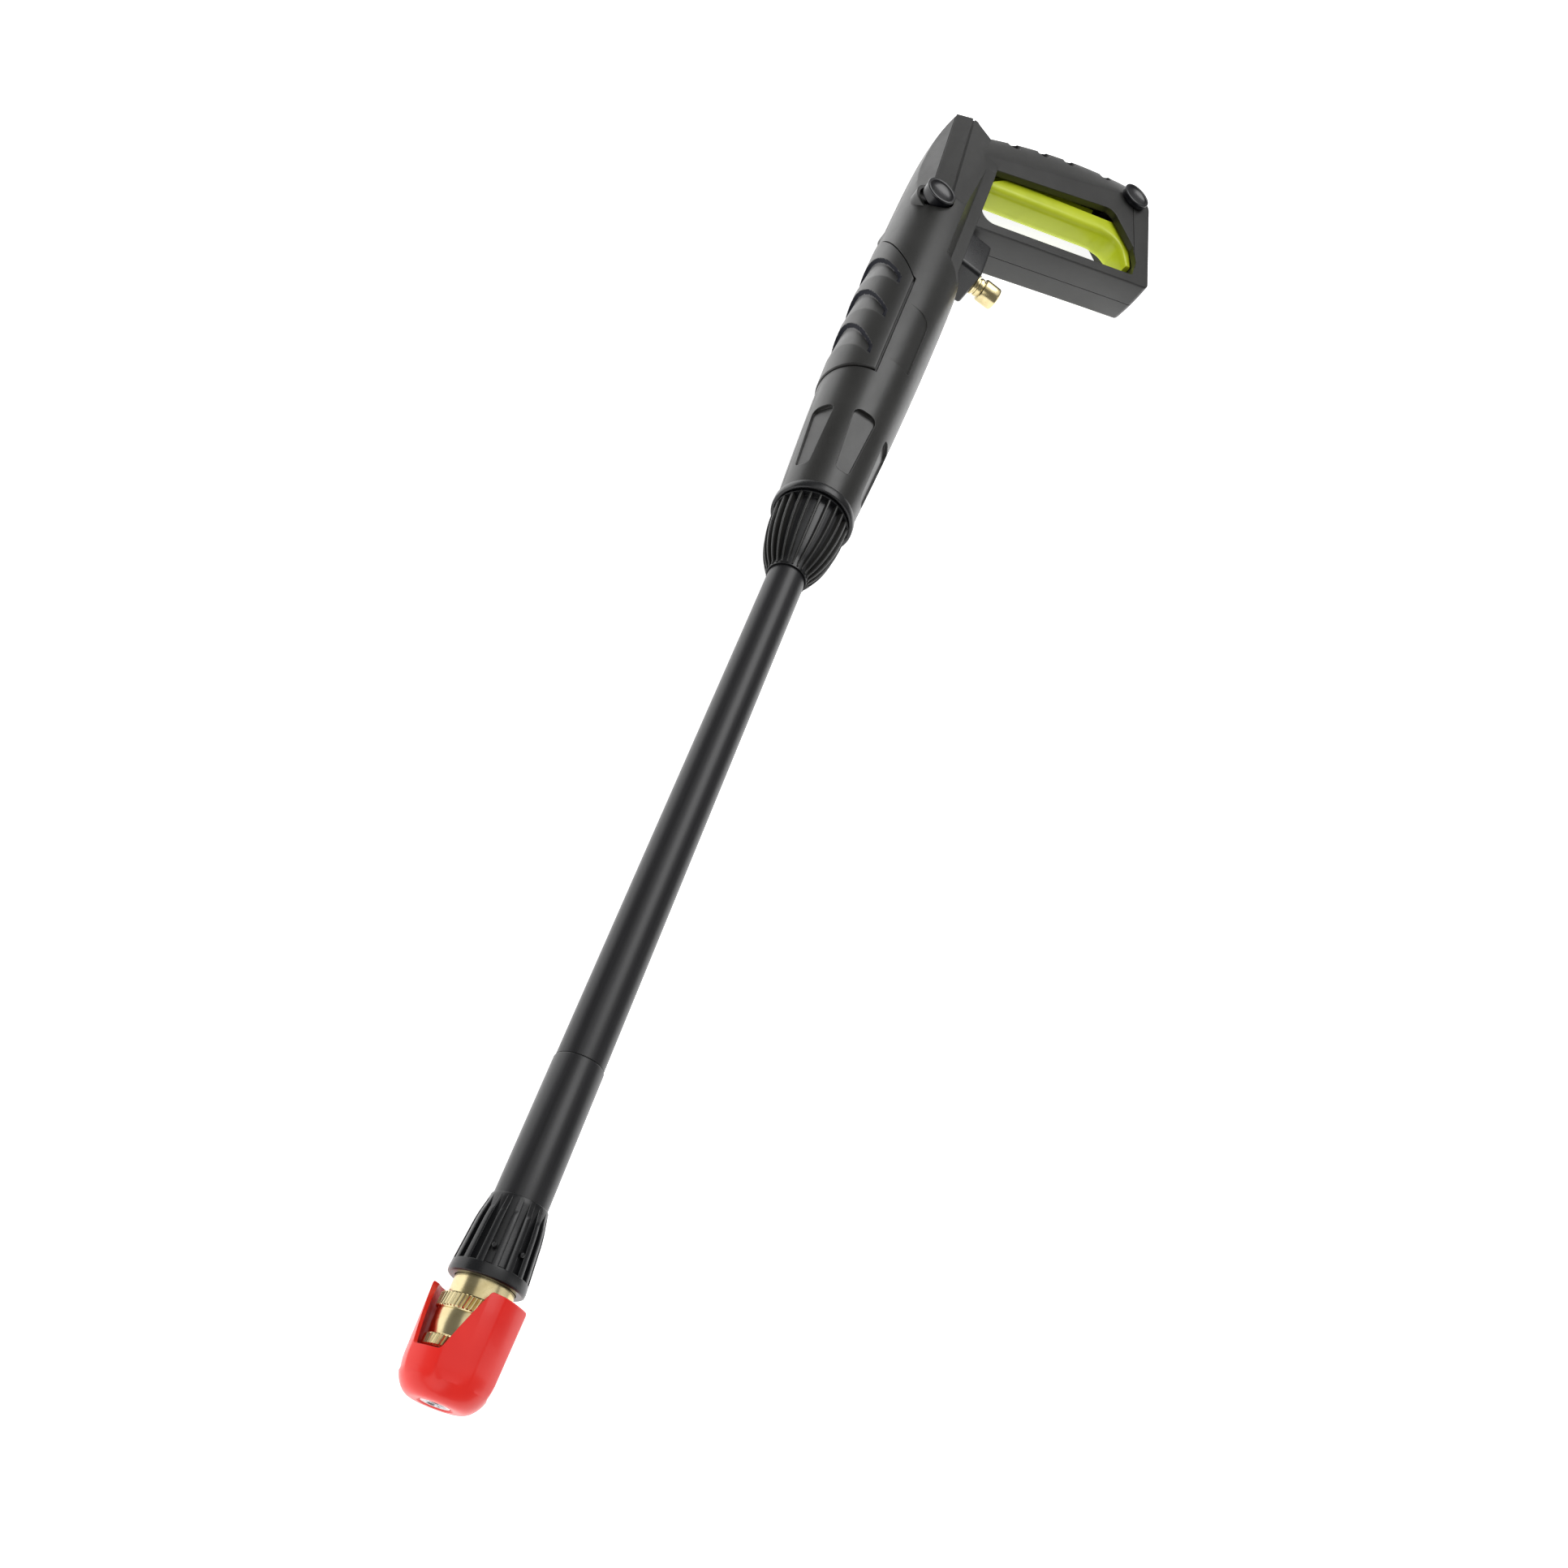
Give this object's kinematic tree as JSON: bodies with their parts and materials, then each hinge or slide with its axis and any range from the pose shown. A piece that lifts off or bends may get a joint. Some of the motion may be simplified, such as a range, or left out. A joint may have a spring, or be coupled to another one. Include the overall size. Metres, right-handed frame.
{
  "type": "pressure washer gun and lance",
  "caption": "Pressure washer spray gun with a D-shaped trigger handle, twist-off lance, ball-lock quick coupler and guarded spray tip.",
  "frame": {"origin": "centre of the bounding box at its base, with the gun lying on its right side", "axes": "-Y along the lance to the spray tip, +X from the barrel towards the foot of the handle, +Z towards the left side of the gun"},
  "size_m": [0.1868, 0.9488, 0.0602],
  "materials": {
    "casing_plastic": "fine grained satin charcoal",
    "grip_rubber": "matte soft grip",
    "black_plastic": "satin black",
    "lance_black": "satin black coating",
    "lime_plastic": "semi-gloss lime",
    "red_plastic": "glossy red",
    "brass": "pale polished brass",
    "steel": "plain",
    "seal_rubber": "matte"
  },
  "bodies": {
    "gun": {"left_shell": "casing_plastic", "right_shell": "casing_plastic", "front_lip_ring": "black_plastic", "foregrip_pad": "grip_rubber", "left_side_strip": "casing_plastic", "right_side_strip": "casing_plastic", "inlet_block": "black_plastic", "inlet_plug": "brass", "inlet_tube": "brass", "valve_body": "brass", "plunger_oring": "seal_rubber", "valve_spring": "steel", "outlet_tube": "steel", "lance_socket": "brass", "trigger_pin": "steel", "trigger_spring": "steel", "foot_cap_left": "black_plastic", "foot_cap_right": "black_plastic", "foot_bolt": "steel", "shell_screw_1": "steel", "shell_screw_2": "steel", "shell_screw_3": "steel", "shell_screw_4": "steel", "shell_screw_5": "steel", "shell_screw_6": "steel"},
    "trigger_lever": {"trigger": "lime_plastic"},
    "plunger": {"valve_plunger": "steel"},
    "lock": {"lock_button": "black_plastic", "lock_cap": "black_plastic", "lock_bar": "steel"},
    "lance": {"lance_collar": "black_plastic", "lance_tube": "lance_black", "lance_sleeve": "lance_black", "inner_tube": "steel", "lance_spigot": "brass", "spigot_oring": "seal_rubber", "nozzle_cone": "black_plastic", "cone_peg_1": "black_plastic", "cone_peg_2": "black_plastic", "coupler_body": "brass", "coupler_spring": "steel", "retaining_ring": "steel", "coupler_oring": "seal_rubber", "spray_tip": "steel", "nozzle_guard": "red_plastic"},
    "release_sleeve": {"coupler_sleeve": "brass"},
    "ball_1": {"coupler_ball_1": "steel"},
    "ball_2": {"coupler_ball_2": "steel"},
    "ball_3": {"coupler_ball_3": "steel"},
    "ball_4": {"coupler_ball_4": "steel"}
  },
  "joints": [
    {"name": "trigger_pull", "type": "hinge", "parent": "gun", "child": "trigger_lever", "pos_m": [-0.05202, 0.31119, 0.0287], "axis": [0, 0, 1], "range_deg": [0, 12], "stiffness_Nm_per_rad": 4, "springref_deg": -8.59, "deforming": ["trigger_spring"]},
    {"name": "plunger_slide", "type": "slide", "parent": "gun", "child": "plunger", "axis": [0, -1, 0], "range_m": [0, 0.00255], "deforming": ["valve_spring"]},
    {"name": "lock_slide", "type": "slide", "parent": "gun", "child": "lock", "axis": [0, 0, 1], "range_m": [-0.005, 0]},
    {"name": "lance_twist", "type": "hinge", "parent": "gun", "child": "lance", "pos_m": [-0.06402, -0.03881, 0.0287], "axis": [0, 1, 0], "range_deg": [0, 60]},
    {"name": "sleeve_slide", "type": "slide", "parent": "lance", "child": "release_sleeve", "axis": [0, 1, 0], "range_m": [0, 0.004], "stiffness_N_per_m": 2500, "springref_m": -0.003, "deforming": ["coupler_spring"]},
    {"name": "ball_1_slide", "type": "slide", "parent": "lance", "child": "ball_1", "axis": [0.7071, 0, 0.7071], "range_m": [0, 0.0009]},
    {"name": "ball_2_slide", "type": "slide", "parent": "lance", "child": "ball_2", "axis": [-0.7071, 0, 0.7071], "range_m": [0, 0.0009]},
    {"name": "ball_3_slide", "type": "slide", "parent": "lance", "child": "ball_3", "axis": [-0.7071, 0, -0.7071], "range_m": [0, 0.0009]},
    {"name": "ball_4_slide", "type": "slide", "parent": "lance", "child": "ball_4", "axis": [0.7071, 0, -0.7071], "range_m": [0, 0.0009]}
  ],
  "couplings": [
    {"joint": "plunger_slide", "follows": "trigger_pull", "m_per_rad": 0.012},
    {"joint": "ball_1_slide", "follows": "sleeve_slide", "ratio": 0.225},
    {"joint": "ball_2_slide", "follows": "sleeve_slide", "ratio": 0.225},
    {"joint": "ball_3_slide", "follows": "sleeve_slide", "ratio": 0.225},
    {"joint": "ball_4_slide", "follows": "sleeve_slide", "ratio": 0.225}
  ]
}
